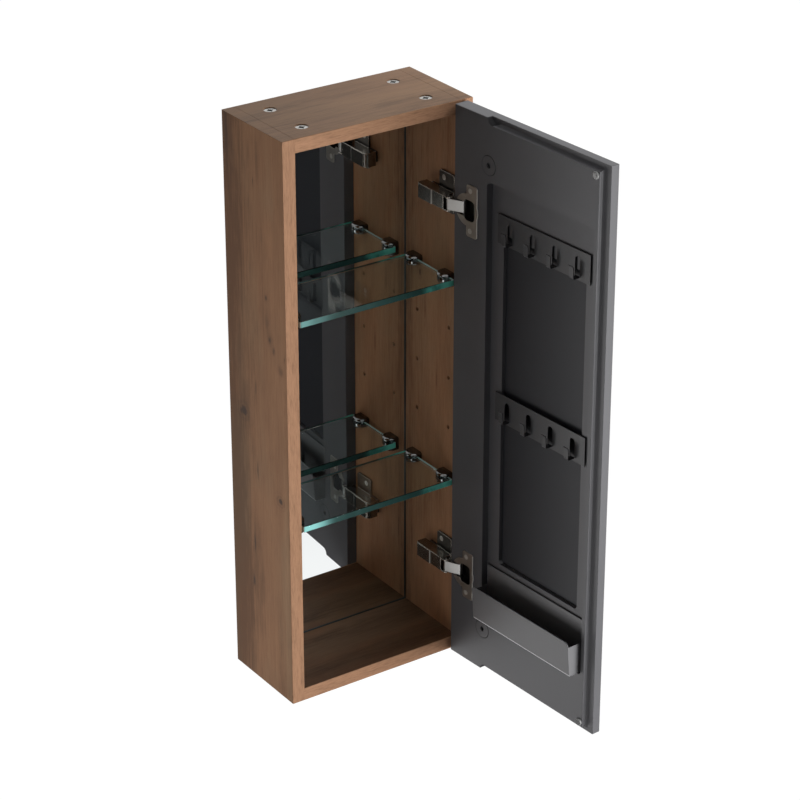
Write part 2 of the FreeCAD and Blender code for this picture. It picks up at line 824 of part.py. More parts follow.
def cup_pin(level):
    """Pin across the cup, as long as the cup is wide there."""
    offset = cup_inset - cup_pivot_inset
    half = sqrt((cup_radius - cup_wall) ** 2 - (offset + pin_radius) ** 2)
    seat = Vector(cup_pivot_inset, cup_pivot_depth, level)
    return rod(pin_radius, seat - Z * half, seat + Z * half)


def adjuster_seats(z):
    """Centres of the adjusting screws on the arm's web."""
    web = inner_right - arm_reach
    return [Vector(web, front + setback, z) for setback in (adjuster_front, adjuster_rear)]


def hinge_cover(z):
    """Clip-on plate over the rear of the arm, with room for the adjusting screws' heads."""
    half = link_height / 2 + link_play + arm_wall
    web = inner_right - arm_reach
    plate = block(web - cover_thickness, web, front + cover_front, front + arm_length - arm_tail,
                  z - half, z + half)
    room = adjuster_head_radius + cover_room_play
    return plate.cut([rod(room, seat - X * cover_room, seat) for seat in adjuster_seats(z)])


def adjusters(z):
    """Adjusting screws through the arm's web into the boss, as (screw, its hole)."""
    pairs = []
    for seat in adjuster_seats(z):
        head = rod(adjuster_head_radius, seat, seat - X * adjuster_head_height)
        shank = rod(adjuster_shank_radius, seat, seat + X * adjuster_shank_length)
        recess = cross_recess(seat - X * adjuster_head_height, X, Y, adjuster_slot_width,
                              2 * adjuster_shank_radius, adjuster_slot_depth)
        depth = adjuster_shank_length + socket_play
        hole = rod(adjuster_shank_radius + socket_play, seat, seat + X * depth)
        pairs.append((head.fuse(shank).cut(recess), hole))
    return pairs


def build_hinges():
    """Two concealed hinges: plates, arms, links, cups, pins and screws."""
    plate_pilots = [countersunk(seat, X, screw_length, socket_play) for seat in plate_screw_seats()]
    arm_pins = []
    cup_pins = []
    adjusting = []
    covers = []
    ear = link_height / 2 + link_play + arm_wall
    for name, level in hinge_levels.items():
        z = bottom + level
        pairs = adjusters(z)
        holes = [hole for _, hole in pairs]
        adjusting += [piece for piece, _ in pairs]
        covers.append(hinge_cover(z))
        save(name + "_mounting_plate", [mounting_plate(z).cut(plate_pilots + holes)])
        save(name + "_hinge_arm", [arm(z).cut(holes)])
        save(name + "_hinge_link", [link(z)])
        save(name + "_hinge_cup", [hang(cup(level))])
        arm_pins.append(rod(pin_radius, arm_pivot + Z * (z - ear), arm_pivot + Z * (z + ear)))
        cup_pins.append(hang(cup_pin(level)))
    save("arm_pins", arm_pins)
    save("cup_pins", cup_pins)
    save("adjusting_screws", adjusting)
    save("hinge_covers", covers)
    save("plate_screws", [screw(seat, X, Y, screw_length) for seat in plate_screw_seats()])
    save("flange_screws", [hang(screw(seat, Y, X, screw_length)) for seat in flange_screw_seats()])


os.makedirs("parts", exist_ok=True)
build_carcass()
build_hanging()
build_shelves()
build_door()
build_door_fittings()
build_hinges()
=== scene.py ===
import json
from math import radians

import bmesh
import bpy
from bpy.props import FloatProperty, FloatVectorProperty, PointerProperty
from mathutils import Matrix, Vector

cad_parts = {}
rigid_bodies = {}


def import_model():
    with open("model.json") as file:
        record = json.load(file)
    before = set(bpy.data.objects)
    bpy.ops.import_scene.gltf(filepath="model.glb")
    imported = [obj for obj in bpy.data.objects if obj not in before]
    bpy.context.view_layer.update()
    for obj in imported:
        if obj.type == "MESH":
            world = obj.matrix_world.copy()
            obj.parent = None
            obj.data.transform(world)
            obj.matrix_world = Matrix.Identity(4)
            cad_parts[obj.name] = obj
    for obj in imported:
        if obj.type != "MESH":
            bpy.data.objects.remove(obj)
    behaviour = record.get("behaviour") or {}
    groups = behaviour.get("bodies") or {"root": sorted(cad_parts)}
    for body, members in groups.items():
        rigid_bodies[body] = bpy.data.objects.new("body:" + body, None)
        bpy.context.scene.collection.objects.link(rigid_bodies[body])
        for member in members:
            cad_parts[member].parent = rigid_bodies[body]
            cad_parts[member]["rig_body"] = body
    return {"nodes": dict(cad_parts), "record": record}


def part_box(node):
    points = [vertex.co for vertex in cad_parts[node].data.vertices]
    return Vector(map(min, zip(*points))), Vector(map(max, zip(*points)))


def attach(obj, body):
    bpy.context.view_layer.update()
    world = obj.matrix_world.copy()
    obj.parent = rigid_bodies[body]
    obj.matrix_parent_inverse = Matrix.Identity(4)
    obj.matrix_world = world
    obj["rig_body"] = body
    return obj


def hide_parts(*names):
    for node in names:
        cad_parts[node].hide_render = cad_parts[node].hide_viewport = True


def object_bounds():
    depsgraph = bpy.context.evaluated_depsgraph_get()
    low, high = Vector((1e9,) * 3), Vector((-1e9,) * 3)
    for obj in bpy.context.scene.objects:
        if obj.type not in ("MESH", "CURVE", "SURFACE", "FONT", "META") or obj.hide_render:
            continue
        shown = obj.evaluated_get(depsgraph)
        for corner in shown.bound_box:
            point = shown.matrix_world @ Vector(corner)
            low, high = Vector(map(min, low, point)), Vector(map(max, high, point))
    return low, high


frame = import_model()
cad_low, cad_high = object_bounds()

bl_info = {
    "name": "Mirror Cabinet Looks",
    "version": (1, 0, 0),
    "blender": (4, 5, 0),
    "location": "View3D > Sidebar > Cabinet",
    "description": "Dresses the solids of a wall cabinet with wood, glass, metal and lacquer",
    "category": "Object",
}

MM = 0.001
WHITE = (1.0, 1.0, 1.0, 1.0)

# Angles between faces: edges that are rounded, creases that stay, faces that count as one
SHARP = radians(32)
CREASE = radians(50)
FLAT = radians(0.5)

# Distance under which points are one, and the steps of a rounding and of a clamp's dome
SAME_POINT = 1e-6
ROUND_STEPS = 2
DOME_STEPS = 4

# Lengths that tell the parts of a piece from each other
LONG_EDGE = 2 * MM
CAM_LIP = 0.4 * MM
CAM_RADIUS = 7.5 * MM
CAM_HUB = 3.4 * MM
WALL_PLAY = 0.05 * MM
SIDE_SKIN = 0.4 * MM
CLAMP_RIM = 20 * MM
BOWL_START = 4 * MM
FLANGE_SIDE = 1.6 * MM

# Rounding of the shelves' edges
SHELF_ROUND = 0.15 * MM

# Parts of a face's normal that tell level, upright and slanting faces from each other
UPRIGHT = 0.3
LOW_EDGE = -0.2
LOW_FLAT = -0.95
BUMPER_FLAT = 0.9

# Colour sockets of a Mix node
MIX_FACTOR = 0
MIX_FIRST = 6
MIX_SECOND = 7
MIX_COLOUR = 2


# Shader wiring

class Wire:
    """One output of a material's nodes; arithmetic on it adds Math nodes."""

    def __init__(self, tree, socket):
        self.tree = tree
        self.socket = socket

    def node(self, kind, settings=None, inputs=None, output=0):
        """Add a node of any kind: its settings first, then values or links on its sockets."""
        made = self.tree.nodes.new("ShaderNode" + kind)
        for name, value in (settings or {}).items():
            setattr(made, name, value)
        for key, value in (inputs or {}).items():
            if isinstance(value, Wire):
                self.tree.links.new(value.socket, made.inputs[key])
            else:
                made.inputs[key].default_value = value
        return Wire(self.tree, made.outputs[output]) if made.outputs else None

    def math(self, operation, other=0.0):
        """This value and another one through a Math node."""
        return self.node("Math", {"operation": operation}, {0: self, 1: other})

    def __add__(self, other):
        return self.math("ADD", other)

    def __sub__(self, other):
        return self.math("SUBTRACT", other)

    def __mul__(self, other):
        return self.math("MULTIPLY", other)

    def part(self, axis):
        """One of these coordinates."""
        return self.node("SeparateXYZ", None, {0: self}, output="xyz".index(axis))

    def length(self):
        """Distance of these coordinates from their origin."""
        return self.node("VectorMath", {"operation": "LENGTH"}, {0: self}, output=1)

    def scaled(self, scale, shift=(0, 0, 0)):
        """The same coordinates, stretched and shifted."""
        return self.node("Mapping", None, {"Vector": self, "Scale": scale, "Location": shift})

    def noise(self, scale, detail=3.0, roughness=0.5, distortion=0.0):
        """Soft noise from 0 to 1 at these coordinates."""
        return self.node("TexNoise", None, {
            "Vector": self, "Scale": scale, "Detail": detail, "Roughness": roughness,
            "Distortion": distortion})

    def between(self, low, high, start=0.0, end=1.0):
        """This value's range low to high, spread smoothly over start to end."""
        return self.node("MapRange", {"interpolation_type": "SMOOTHSTEP"}, {
            "Value": self, "From Min": low, "From Max": high, "To Min": start, "To Max": end})

    def fading(self, low, high, strength=1.0):
        """The strength while this value is under low, and nothing once it is over high."""
        return self.between(low, high, strength, 0.0)

    def rough(self, base, spread):
        """A roughness that this pattern varies."""
        return self * spread + base

    def blend(self, first, second):
        """A colour from first to second, as this value goes from 0 to 1."""
        sockets = {MIX_FACTOR: self, MIX_FIRST: first, MIX_SECOND: second}
        return self.node("Mix", {"data_type": "RGBA"}, sockets, output=MIX_COLOUR)

    def tinted(self, hue):
        """This colour multiplied by another."""
        sockets = {MIX_FACTOR: 1.0, MIX_FIRST: self, MIX_SECOND: hue}
        return self.node("Mix", {"data_type": "RGBA", "blend_type": "MULTIPLY"}, sockets,
                         output=MIX_COLOUR)

    def tones(self, colour, dark, light, low=0.3, high=0.7):
        """From a darker to a lighter shade of a colour, as this value goes from low to high."""
        return self.between(low, high).blend(shade(colour, dark), shade(colour, light))

    def ramp(self, *stops):
        """A colour for this value, from three stops of a position and a colour each."""
        made = self.tree.nodes.new("ShaderNodeValToRGB")
        elements = made.color_ramp.elements
        elements.new(stops[1][0])
        for element, (position, colour) in zip(elements, stops):
            element.position = position
            element.color = colour
        self.tree.links.new(self.socket, made.inputs["Fac"])
        return Wire(self.tree, made.outputs["Color"])

    def bump(self, strength, distance):
        """A normal that follows this height."""
        return self.node("Bump", None, {"Height": self, "Strength": strength, "Distance": distance})


def new_material(name):
    """An empty material and the Object coordinates that its patterns read."""
    material = bpy.data.materials.new(name)
    material.use_nodes = True
    material.node_tree.nodes.clear()
    coordinates = material.node_tree.nodes.new("ShaderNodeTexCoord")
    return material, Wire(material.node_tree, coordinates.outputs["Object"])


def surface(place, **inputs):
    """Close a material with one Principled shader; underscores stand for spaces in socket names."""
    named = {key.replace("_", " "): value for key, value in inputs.items()}
    shader = place.node("BsdfPrincipled", None, named)
    place.node("OutputMaterial", None, {"Surface": shader})


def opaque(colour):
    """A colour with full alpha."""
    return (*colour[:3], 1.0)


def shade(colour, factor):
    """A colour made darker or lighter, with full alpha."""
    return (*(min(1.0, channel * factor) for channel in colour[:3]), 1.0)


# Oak: how much each pattern is drawn out along the grain, its share in the colour and its relief
LONG_GRAIN = 0.05
SHORT_GRAIN = 0.06
CLOUD_GRAIN = 0.3
BROAD_SHARE = 0.38
FIGURE_SHARE = 0.14
FIBRE_SHARE = 0.15
CLOUD_SHARE = 0.47
PORE_SHARE = 0.16
FIBRE_RELIEF = 0.6
PORE_RELIEF = 0.5

# Oak: tones that get the dark, the middle and the light colour, and hues that come and go.
# The grey hue, which the top takes in place of the warm one, is a painted sheen.
DARK_TONE = 0.40
MIDDLE_TONE = 0.57
LIGHT_TONE = 0.76
LIGHT_SHADE = 1.32
WARM_HUE = (1.02, 0.975, 0.945, 1.0)
OLIVE_HUE = (0.96, 1.03, 1.05, 1.0)
SHEEN_HUE = (0.97, 1.02, 1.06, 1.0)

# Oak: where a board that darkens towards the wall starts and ends doing so, as Y,
# and the part of its lean that makes the front lighter. This is partly the decor's own tone
# and partly painted shade towards the wall and painted light at the front.
DARK_START = -0.075
DARK_END = -0.005
LEAN_FRONT = 0.2

# Edge bands: stretch of the fibres, shares in the tone, and the tone and shade of each stop
BAND_UPRIGHT = (1.0, 1.0, 0.12)
BAND_LEVEL = (0.12, 1.0, 1.0)
BAND_FIBRE_SHARE = 0.7
BAND_STREAK_SHARE = 0.35
BAND_STOPS = ((0.36, 0.66), (0.54, 1.0), (0.74, 1.2))

# Knots of the side panels: place along Y and Z, half width and half height, in millimetres
LEFT_KNOTS = (
    (-30, -295, 8, 7),
    (-105, -380, 5, 4),
)
RIGHT_KNOTS = (
    (-45, -180, 3, 6),
)
# Cracks and stains of the side panels: the same four, and how strong they are
LEFT_MARKS = (
    (-84, -135, 2, 3, 1.0),
    (-85, -165, 6, 15, 0.5),
    (-90, -184, 3, 5, 1.0),
    (-98, -195, 4, 8, 0.9),
    (-112, -215, 8, 6, 0.6),
    (-120, -196, 2, 5, 0.7),
    (-58, -256, 1, 9, 0.9),
    (-58, -360, 2, 11, 0.9),
    (-48, -458, 2, 15, 1.2),
    (-44, -510, 3, 8, 1.1),
    (-42, -590, 1, 50, 0.4),
    (-7, 40, 7, 60, 0.8),
    (-20, 15, 6, 30, 0.4),
    (-62, -4, 1, 5, 0.9),
    (-77, -64, 3, 20, 0.5),
    (-70, 31, 4, 30, 0.4),
)
RIGHT_MARKS = (
    (-80, -300, 2, 24, 0.6),
    (-30, -530, 2, 26, 0.6),
    (-56, -215, 3, 30, 0.6),
)
# Wavy rims of knots and marks, rings round a knot, and the most that a stain covers
WOBBLE_STRETCH = (150.0, 150.0, 60.0)
WOBBLE = 2.0
NOISE_MIDDLE = 0.5
RINGS = 5.0
STAIN_LIMIT = 0.9

# Shelf edges, along X: where the lighter left end starts and how far it reaches; the lighter end is
# painted light
EDGE_LEFT = -0.112
UPPER_END_REACH = -0.025
LOWER_END_REACH = -0.010
# Shelf edges, along X: where the lighter right end and its tip begin and are full; both are painted
# light
EDGE_RIGHT = (0.056, 0.072)
EDGE_TIP = (0.080, 0.096)
TIP_SHADE = 1.8
# Shelf edges: how much waves vary the left end
WAVE_SHARE = 0.7
WAVE_MIDDLE = 0.35

# Lacquer: how much cloud and orange peel vary the roughness
CLOUD_ROUGH = 0.06
PEEL_ROUGH = 0.05

# Fittings: part of a cam's hub that is fully dark with painted shade, and how much rubbing marks vary
# the hinges
HUB_CORE = 0.7
HINGE_SCRATCH = 0.12

# Mirror: colour of its ground edge
MIRROR_EDGE = (0.006, 0.012, 0.011)


# Finishes

def reach_from(place, y, z, width, height):
    """Distance from a spot on a side panel, 1 at its rim; the spot is in millimetres."""
    scale = (0.0, 1 / (width * MM), 1 / (height * MM))
    return place.scaled(scale, (0.0, -y / width, -z / height)).length()


def wood_marks(place, knots, marks):
    """How strongly knots, the rings round them, cracks and stains darken a panel; 1 is the most."""
    noise = place.scaled(WOBBLE_STRETCH).noise(scale=1.0, detail=4.0, roughness=0.7)
    wobble = (noise - NOISE_MIDDLE) * WOBBLE
    stains = []
    for knot in knots:
        reach = reach_from(place, *knot) + wobble
        core = reach.fading(low=0.1, high=1.3, strength=0.85)
        halo = reach.fading(low=0.8, high=4.0, strength=0.25)
        rings = (reach * RINGS).math("SINE") * reach.fading(low=0.8, high=5.0, strength=0.14)
        stains.append(core + halo + rings)
    for *spot, strength in marks:
        reach = reach_from(place, *spot) + wobble
        core = reach.fading(low=0.0, high=1.3, strength=0.55 * strength)
        halo = reach.fading(low=0.5, high=3.2, strength=0.25 * strength)
        stains.append(core + halo)
    first, *others = stains
    return sum(others, first)


def drawn_out(place, along, stretch, shift):
    """Coordinates drawn out along the grain."""
    return place.scaled([stretch if axis == along else 1.0 for axis in "xyz"], shift)


def oak(name, looks, along, shift, gloss=0.08, depth=1.0, lean=0.0, warm=WARM_HUE, knots=(), marks=()):
    """Oak decor: broad bands, short fibres and pores along the grain, with a light matt sheen.

    The depth makes the board lighter or darker. The lean darkens it towards the wall,
    partly as the decor's tone and partly as painted shade.
    """
    material, place = new_material(name)
    grain = drawn_out(place, along, LONG_GRAIN, shift)
    short = drawn_out(place, along, SHORT_GRAIN, shift)
    soft = drawn_out(place, along, CLOUD_GRAIN, shift)
    broad = grain.noise(scale=24.0, detail=4.0, roughness=0.62, distortion=0.8)
    figure = grain.noise(scale=120.0, detail=4.0, roughness=0.6, distortion=0.8)
    fibres = short.noise(scale=420.0, detail=5.0, roughness=0.75)
    clear = fibres.between(low=0.25, high=0.75)
    pores = short.noise(scale=1100.0, detail=1.0).fading(low=0.33, high=0.45)
    cloud = soft.noise(scale=18.0, detail=4.0, roughness=0.6)
    tone = broad * BROAD_SHARE + figure * FIGURE_SHARE + clear * FIBRE_SHARE + cloud * CLOUD_SHARE
    tone = tone + place.part("y").between(DARK_START, DARK_END, lean * LEAN_FRONT, -lean)
    dark = shade(looks.streak, depth)
    colour = tone.ramp((DARK_TONE, dark), (MIDDLE_TONE, shade(looks.decor, depth)),
                       (LIGHT_TONE, shade(looks.decor, LIGHT_SHADE * depth)))
    colour = (pores * PORE_SHARE).blend(colour, dark)
    hue = soft.noise(scale=13.0).between(low=0.4, high=0.6).blend(warm, OLIVE_HUE)
    colour = colour.tinted(hue)
    if knots or marks:
        stain = wood_marks(place, knots, marks).between(low=0.0, high=1.0, end=STAIN_LIMIT)
        colour = stain.blend(colour, opaque(looks.knot))
    relief = fibres * FIBRE_RELIEF - pores * PORE_RELIEF
    surface(place, Base_Color=colour, Roughness=fibres.rough(base=0.46, spread=0.16),
            Normal=relief.bump(strength=0.15, distance=0.2 * MM), Specular_IOR_Level=gloss)
    return material


def edge_band(name, looks, stretch, depth=1.0):
    """Narrow lighter band on the front edges, with short fibres along it."""
    material, place = new_material(name)
    grain = place.scaled(stretch)
    fibres = grain.noise(scale=620.0, detail=4.0, roughness=0.75)
    streaks = grain.noise(scale=200.0, detail=3.0, roughness=0.6)
    tone = fibres * BAND_FIBRE_SHARE + streaks * BAND_STREAK_SHARE
    stops = [(position, shade(looks.band, factor * depth)) for position, factor in BAND_STOPS]
    surface(place, Base_Color=tone.ramp(*stops), Roughness=fibres.rough(base=0.52, spread=0.14),
            Normal=fibres.bump(strength=0.15, distance=0.2 * MM), Specular_IOR_Level=0.04)
    return material


def raw_board(name, colour):
    """Pressed board or raw wood: speckled, dull."""
    material, place = new_material(name)
    speck = place.noise(scale=420.0, detail=4.0, roughness=0.7)
    cloud = place.noise(scale=30.0, detail=2.0)
    speck_share = 0.6
    tone = speck * speck_share + cloud * (1.0 - speck_share)
    surface(place, Base_Color=tone.tones(colour, dark=0.75, light=1.15),
            Roughness=speck.rough(base=0.6, spread=0.2),
            Normal=speck.bump(strength=0.2, distance=0.2 * MM))
    return material


def metal(name, colour, roughness, scratch=0.06, plating=1.0):
    """Plated or polished metal with faint rubbing marks; less plating makes it duller."""
    material, place = new_material(name)
    rub = place.scaled((1.0, 1.0, 0.25)).noise(scale=520.0, detail=3.0, roughness=0.6)
    cloud = place.noise(scale=60.0, detail=2.0)
    surface(place, Base_Color=cloud.tones(colour, dark=0.9, light=1.06), Metallic=plating,
            Roughness=rub.rough(base=roughness, spread=scratch),
            Normal=rub.bump(strength=0.03, distance=0.1 * MM))
    return material


def cam_zinc(colour):
    """Zinc of the cams, with painted shade in the middle of each cross."""
    material, place = new_material("cam_zinc")
    low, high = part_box("cam_housings")
    folded = place.node("VectorMath", {"operation": "ABSOLUTE"}, {0: place})
    front, back = (folded.scaled((1.0, 1.0, 0.0), (CAM_RADIUS - high.x, row, 0.0)).length()
                   for row in (low.y + CAM_RADIUS, high.y - CAM_RADIUS))
    hub_shade = front.math("MINIMUM", back).fading(CAM_HUB * HUB_CORE, CAM_HUB)
    rub = place.noise(scale=520.0, detail=3.0, roughness=0.6)
    surface(place, Base_Color=hub_shade.blend(opaque(colour), shade(colour, factor=0.03)), Metallic=1.0,
            Roughness=rub.rough(base=0.22, spread=0.06))
    return material


def lacquer(name, colour, roughness, gloss=0.28):
    """Silk lacquer: even colour, very fine orange peel, faint cloud in the gloss."""
    material, place = new_material(name)
    peel = place.noise(scale=650.0, detail=2.0, roughness=0.5)
    cloud = place.noise(scale=14.0, detail=3.0)
    surface(place, Base_Color=cloud.tones(colour, dark=0.97, light=1.03),
            Roughness=cloud * CLOUD_ROUGH + peel * PEEL_ROUGH + roughness,
            Normal=peel.bump(strength=0.04, distance=0.1 * MM), Specular_IOR_Level=gloss)
    return material


def mirror_silver(colour):
    """Silvered glass: a clean reflection, a trace darker in soft clouds."""
    material, place = new_material("mirror_silver")
    cloud = place.noise(scale=6.0, detail=2.0)
    surface(place, Base_Color=cloud.tones(colour, dark=0.98, light=1.0, low=0.2, high=0.8),
            Metallic=1.0, Roughness=cloud.rough(base=0.004, spread=0.004))
    return material


def clear_glass(looks):
    """Clear float glass that takes its green from the way light goes through it."""
    material, place = new_material("clear_glass")
    film = place.noise(scale=9.0, detail=3.0)
    shader = place.node("BsdfPrincipled", None, {
        "Base Color": WHITE, "Roughness": film.between(low=0.55, high=0.8, end=0.02),
        "Transmission Weight": 1.0, "IOR": 1.5})
    depth = place.node("VolumeAbsorption", None, {
        "Color": opaque(looks.glass), "Density": looks.glass_density})
    place.node("OutputMaterial", None, {"Surface": shader, "Volume": depth})
    return material


def glass_edge(name, looks, end, reach):
    """Ground edge of a shelf: deep green, lighter towards both ends and pale next to the side panels,
    all painted light.
    """
    material, place = new_material(name)
    along = place.part("x")
    left = along.fading(EDGE_LEFT, reach)
    wave = place.scaled((1.0, 1.0, 0.3)).noise(scale=24.0, detail=3.0)
    # Speckled glints in the lighter right end: painted light.
    glints = place.noise(scale=160.0, detail=3.0).between(low=0.3, high=0.7, start=0.45)
    right = along.between(*EDGE_RIGHT) * glints
    ends = left * left + wave * WAVE_SHARE - WAVE_MIDDLE
    side = along.math("ABSOLUTE").between(looks.side - SIDE_SKIN, looks.side)
    colour = ends.between(low=0.0, high=1.0).blend(opaque(looks.edge), opaque(end))
    colour = right.blend(colour, opaque(looks.edge_far_light))
    colour = along.between(*EDGE_TIP).blend(colour, shade(looks.edge_far_light, TIP_SHADE))
    surface(place, Base_Color=side.blend(colour, opaque(looks.edge_side_highlight)),
            Roughness=wave.rough(base=0.3, spread=0.1), Specular_IOR_Level=0.07)
    return material


def soft_clear(name, colour):
    """Clear soft plastic of the door's bumpers."""
    material, place = new_material(name)
    haze = place.noise(scale=300.0, detail=2.0)
    surface(place, Base_Color=haze.tones(colour, dark=0.9, light=1.0),
            Roughness=haze.rough(base=0.15, spread=0.1), Transmission_Weight=0.35, IOR=1.45)
    return material


# Pieces

def dress(node, material):
    """Give a CAD node its finish."""
    slots = frame["nodes"][node].data.materials
    slots.clear()
    slots.append(material)


def body_of(node):
    """The body that a CAD node moves with."""
    return frame["nodes"][node]["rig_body"]


def slot_of(node):
    """The material slot that the record gives a CAD node."""
    return next(part["material_slot"] for part in frame["record"]["subparts"] if part["node"] == node)


def show(name, mesh, node, *materials, smooth=True):
    """Turn a bmesh into a piece that stands for a CAD node and rides on its body."""
    data = bpy.data.meshes.new(name)
    mesh.to_mesh(data)
    mesh.free()
    for material in materials:
        data.materials.append(material)
    piece = bpy.data.objects.new(name, data)
    bpy.context.scene.collection.objects.link(piece)
    if smooth:
        data.shade_smooth()
        data.set_sharp_from_angle(angle=CREASE)
        even = piece.modifiers.new("even_shading", "WEIGHTED_NORMAL")
        even.keep_sharp = True
    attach(piece, body_of(node))
    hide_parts(node)
    slot_of(node)
    return piece


def paint(piece, choose):
    """Give each face of a piece the material whose number the choice works out."""
    for face in piece.data.polygons:
        face.material_index = int(choose(face))


def merged(node):
    """A CAD node's mesh with its loose triangles joined into flat faces."""
    mesh = bmesh.new()
    mesh.from_mesh(frame["nodes"][node].data)
    bmesh.ops.remove_doubles(mesh, verts=mesh.verts, dist=SAME_POINT)
    bmesh.ops.dissolve_limit(mesh, angle_limit=FLAT, verts=mesh.verts, edges=mesh.edges)
    return mesh


def round_edges(mesh, edges, width, segments=ROUND_STEPS):
    """Round some edges off and give back the faces that this makes."""
    return bmesh.ops.bevel(mesh, geom=edges, offset=width, offset_type="OFFSET", affect="EDGES",
                           segments=segments, profile=0.5, material=-1)["faces"]


def sharp_edges(mesh, shortest=0.0):
    """Edges between two faces that meet at a sharp angle."""
    return [edge for edge in mesh.edges
            if edge.is_manifold and edge.calc_face_angle() > SHARP and edge.calc_length() > shortest]


def softened(node, width, *materials, shortest=0.0, smooth=True):
    """A copy of a CAD node with its sharp edges, down to the shortest asked for, rounded off.

    The second material, where there is one, goes on the rounded edges.
    """
    mesh = merged(node)
    for face in mesh.faces:
        face.material_index = 0
    for face in round_edges(mesh, sharp_edges(mesh, shortest), width):
        face.material_index = min(1, len(materials) - 1)
    return show(node + "_piece", mesh, node, *materials, smooth=smooth)


def lipped_covers(node, width, lip, *materials):
    """Covers of the hinge arms, with a bright lip along the end towards the door as a painted
    highlight.

    The materials are for the flat faces, the lip and the rounded edges.
    """
    mesh = merged(node)
    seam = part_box(node)[0].y + lip
    bmesh.ops.bisect_plane(mesh, geom=[*mesh.verts, *mesh.edges, *mesh.faces],
                           plane_co=(0.0, seam, 0.0), plane_no=(0.0, 1.0, 0.0))
    rounded = set(round_edges(mesh, sharp_edges(mesh), width))
    for face in mesh.faces:
        if face.calc_center_median().y < seam:
            face.material_index = 1
        else:
            face.material_index = 2 * int(face in rounded)
    return show(node + "_piece", mesh, node, *materials)


def domed_clamps(node, width, material):
    """Shelf clamps with the outer rims of both jaws rounded to a dome."""
    mesh = merged(node)
    low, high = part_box(node)
    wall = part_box("top_panel")[1].x - WALL_PLAY
    rims = []
    for edge in sharp_edges(mesh):
        outer = all(min(vert.co.z - low.z, high.z - vert.co.z) < WALL_PLAY for vert in edge.verts)
        free = any(abs(vert.co.x) < wall for vert in edge.verts)
        if outer and free and edge.calc_length() < CLAMP_RIM:
            rims.append(edge)
    round_edges(mesh, rims, width, DOME_STEPS)
    for face in mesh.faces:
        face.material_index = 0
    return show(node + "_piece", mesh, node, material)


# Sizes and colours that a user would change

def colour_property(name, description, default):
    """A colour setting."""
    return FloatVectorProperty(name=name, description=description, default=default, subtype="COLOR",
                               size=3, min=0.0, max=1.0)


def length_property(name, description, default):
    """A length setting."""
    return FloatProperty(name=name, description=description, default=default, unit="LENGTH")


def power_property(name, description, default):
    """A lamp's power setting, in watts."""
    return FloatProperty(name=name, description=description, default=default, unit="POWER")


class CabinetWood(bpy.types.PropertyGroup):
    """Colours of the boards."""
    decor: colour_property("Decor", "Middle tone of the oak decor", (0.265, 0.145, 0.080))
    streak: colour_property("Streak", "Dark tone of the grain", (0.135, 0.070, 0.038))
    knot: colour_property("Knot", "Colour of knots and cracks", (0.05, 0.032, 0.024))
    band: colour_property("Edge band", "Colour of the front edges", (0.345, 0.190, 0.112))
    raw: colour_property("Raw board", "Colour of the back panel", (0.28, 0.19, 0.11))
    beech: colour_property("Beech", "Colour of the dowels", (0.5, 0.3, 0.14))
    edge_round: length_property("Edge rounding", "Rounding of the boards' edges", 0.35 * MM)


class CabinetGlass(bpy.types.PropertyGroup):
    """Mirror and shelves."""
    silver: colour_property("Silver", "Colour of the mirror's reflection", (0.86, 0.88, 0.88))
    mirror_rim: length_property("Mirror rim", "Width of the mirror's ground edge", 0.3 * MM)
    mirror_depth: length_property(
        "Mirror depth", "How far the silver lies behind the glass front", 1.8 * MM)
    glass: colour_property(
        "Glass tint", "Colour that long ways through the glass take on", (0.06, 0.66, 0.62))
    glass_density: FloatProperty(
        name="Glass density", description="Absorption per metre of glass", default=16.0)
    edge: colour_property("Glass edge", "Colour of the shelves' edges", (0.017, 0.050, 0.045))
    # The side, end and far-end edge colours are painted light on the shelves' edges.
    edge_side_highlight: colour_property(
        "Glass side", "Colour of the edges next to the side panels", (0.55, 0.66, 0.63))
    side: length_property(
        "Glass side place", "Distance of the shelves' sides from the middle", 0.1035)
    edge_end_light: colour_property(
        "Glass edge end", "Colour of the edges' left ends", (0.13, 0.30, 0.285))
    edge_far_light: colour_property(
        "Glass edge far end", "Colour of the edges' right ends", (0.085, 0.36, 0.29))


class CabinetMetal(bpy.types.PropertyGroup):
    """Fittings."""
    # Plates and cups' bowls take darker copies of this nickel as painted shade; flanges and edges take
    # lighter ones as painted light.
    nickel: colour_property("Nickel", "Hinge arms, plates and cups", (0.24, 0.222, 0.20))
    steel: colour_property("Steel", "Links, pins, screws and hangers", (0.28, 0.275, 0.265))
    # Bright steel is also a painted highlight on the hinge covers' lips and, lighter, on the cups'
    # rims.
    bright: colour_property(
        "Bright steel", "Screw heads and rims that catch light", (0.62, 0.60, 0.56))
    chrome: colour_property("Chrome", "Shelf clamps", (0.16, 0.16, 0.16))
    zinc: colour_property("Zinc", "Cam fasteners", (0.45, 0.44, 0.42))
    dome: length_property("Clamp dome", "Rounding of the clamps' jaws", 2.6 * MM)
    fitting_round: length_property("Fitting rounding", "Rounding of the fittings' edges", 0.3 * MM)
    cam_round: length_property("Cam rounding", "Rounding of the cams' edges", 0.1 * MM)
    cover_lip: length_property("Cover lip", "Width of the bright end of the hinge covers", 0.6 * MM)


